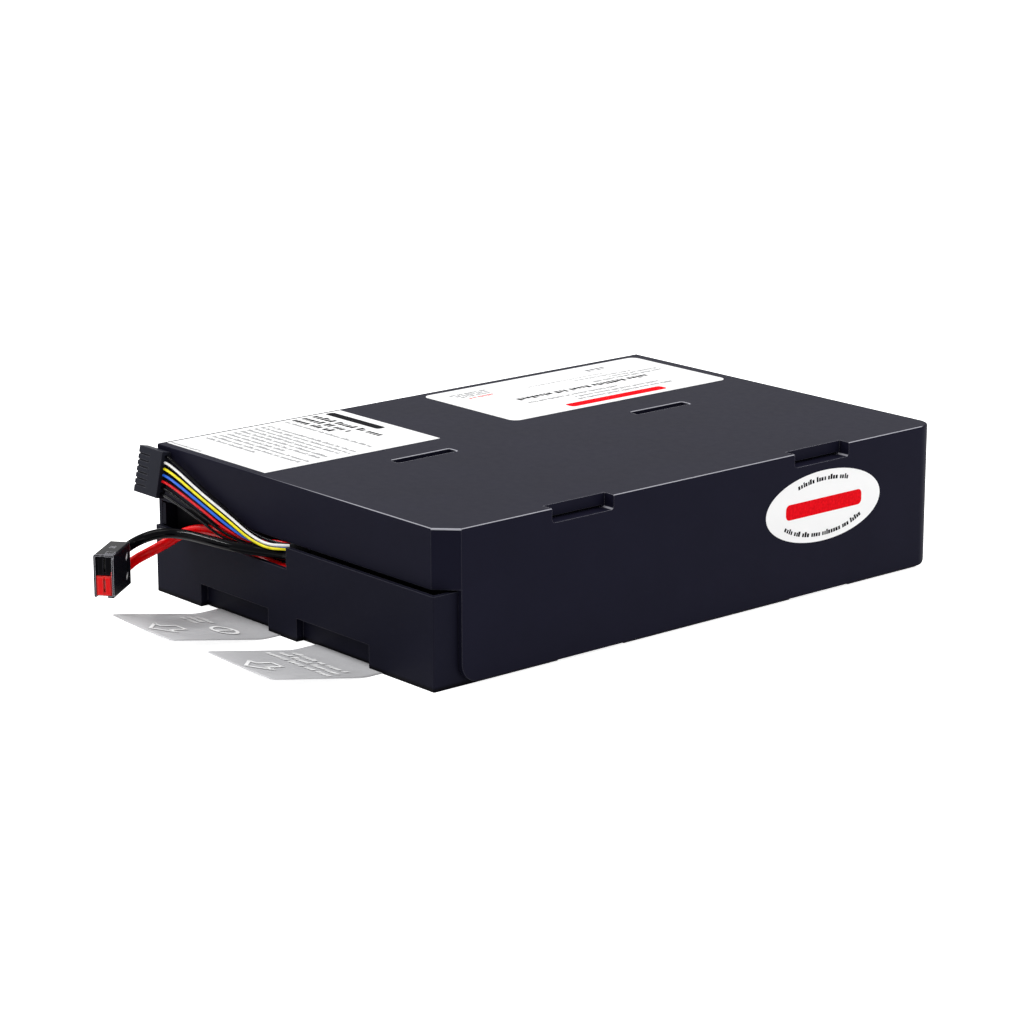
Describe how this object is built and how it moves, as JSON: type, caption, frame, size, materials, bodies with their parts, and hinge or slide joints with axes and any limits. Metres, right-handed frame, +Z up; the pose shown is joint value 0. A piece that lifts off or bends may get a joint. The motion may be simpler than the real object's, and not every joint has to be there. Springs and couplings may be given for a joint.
{
  "type": "ups battery cartridge",
  "caption": "Black slide-in battery cartridge with a flat top cover, lower tray, sealed batteries inside, pull tabs and two short cable leads with connectors.",
  "frame": {"origin": "centre of the tray's underside across its width, level with the outer face of the cover's short front wall", "axes": "+Y from the wire side to the rear along the long side, +X towards the long side with the latch pockets, +Z up"},
  "size_m": [0.2233, 0.3768, 0.0721],
  "materials": {
    "battery_plastic": "dark grey battery box, satin",
    "black_cable": "smooth black cable jacket, semi gloss",
    "clear_nylon": "milky insulating nylon",
    "connector_black": "moulded black connector plastic",
    "connector_red": "moulded red connector plastic",
    "cover_plastic": "satin black flame-retardant plastic with a fine moulded grain",
    "epoxy": "black epoxy bead",
    "foam": "dark open-cell foam",
    "label_paper": "white film label with grey bars and fields, no words",
    "pull_film": "grey film, semi matte",
    "red_cable": "smooth red cable jacket, semi gloss",
    "sleeve_tape": "black cloth tape wound round the wires",
    "tin_plate": "tinned brass, bright",
    "tray_plastic": "satin black plastic",
    "wire_black": "thin black wire jacket",
    "wire_blue": "thin blue wire jacket",
    "wire_red": "thin red wire jacket",
    "wire_white": "thin white wire jacket",
    "wire_yellow": "thin yellow wire jacket"
  },
  "bodies": {
    "root": {"battery_1": "battery_plastic", "battery_2": "battery_plastic", "battery_3": "battery_plastic", "battery_4": "battery_plastic", "foam_strips_left": "foam", "foam_strips_right": "foam", "label_front": "label_paper", "label_rear": "label_paper", "label_side": "label_paper", "lower_tray": "tray_plastic", "power_cable_black": "black_cable", "power_cable_red": "red_cable", "power_connector_shell": "connector_black", "power_contact_black": "tin_plate", "power_contact_red": "tin_plate", "power_housing_black": "connector_black", "power_housing_red": "connector_red", "power_lead_black_inner": "black_cable", "power_lead_red_inner": "red_cable", "pull_tab_left": "pull_film", "pull_tab_right": "pull_film", "receptacle_1_front": "clear_nylon", "receptacle_1_rear": "clear_nylon", "receptacle_2_front": "clear_nylon", "receptacle_2_rear": "clear_nylon", "receptacle_3_front": "clear_nylon", "receptacle_3_rear": "clear_nylon", "receptacle_4_front": "clear_nylon", "receptacle_4_rear": "clear_nylon", "sense_branch_1": "wire_black", "sense_branch_2": "wire_black", "sense_branch_3": "wire_black", "sense_branch_4": "wire_black", "sense_branch_5": "wire_black", "sense_connector_housing": "connector_black", "sense_contacts": "tin_plate", "sense_wire_black_1": "wire_black", "sense_wire_black_2": "wire_black", "sense_wire_black_3": "wire_black", "sense_wire_blue": "wire_blue", "sense_wire_red": "wire_red", "sense_wire_sleeve": "sleeve_tape", "sense_wire_white": "wire_white", "sense_wire_yellow": "wire_yellow", "series_jumper_left": "red_cable", "series_jumper_rear": "black_cable", "series_jumper_right": "red_cable", "terminal_1_front": "tin_plate", "terminal_1_rear": "tin_plate", "terminal_2_front": "tin_plate", "terminal_2_rear": "tin_plate", "terminal_3_front": "tin_plate", "terminal_3_rear": "tin_plate", "terminal_4_front": "tin_plate", "terminal_4_rear": "tin_plate", "thermistor": "epoxy", "upper_cover": "cover_plastic"}
  },
  "joints": []
}
